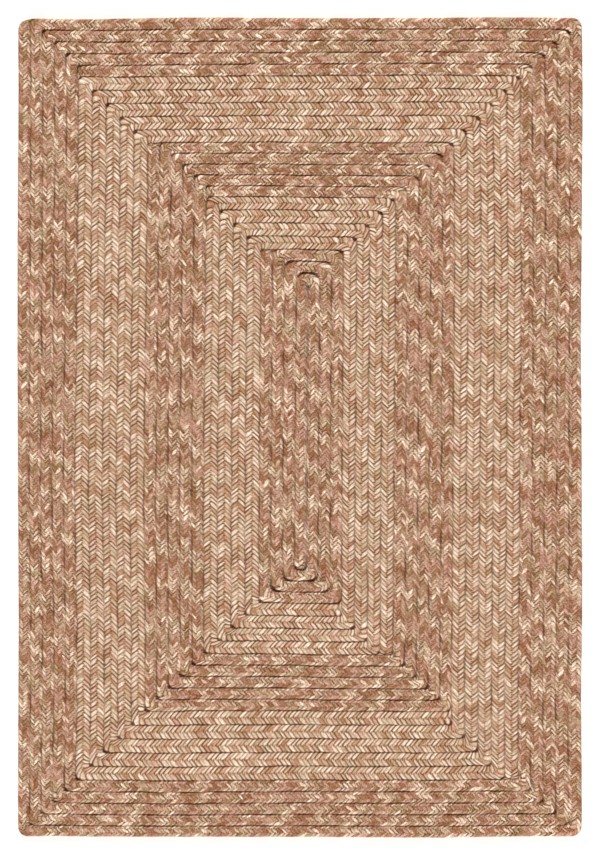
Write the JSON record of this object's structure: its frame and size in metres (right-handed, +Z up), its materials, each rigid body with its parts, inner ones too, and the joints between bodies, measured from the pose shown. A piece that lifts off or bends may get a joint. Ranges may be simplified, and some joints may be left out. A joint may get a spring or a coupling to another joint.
{
  "type": "braided rug",
  "caption": "Flat rectangular rug of terracotta and cream braid, wound in rectangular spirals and sewn edge to edge, for a floor.",
  "frame": {"origin": "centre of the rug on its underside, which lies on the floor", "axes": "+X across the rug's width, +Y along its length, +Z up out of the face that shows"},
  "size_m": [1.2224, 1.7749, 0.011],
  "materials": {
    "terracotta_braid": "matt flat braid of spun yarn, terracotta and tan with cream flecks",
    "cream_braid": "matt flat braid of spun yarn, cream, tan and terracotta"
  },
  "bodies": {
    "root": {"core_braid": "terracotta_braid", "inner_cream_braid": "cream_braid", "middle_terracotta_braid": "terracotta_braid", "outer_cream_braid": "cream_braid", "rim_braid": "terracotta_braid"}
  },
  "joints": []
}
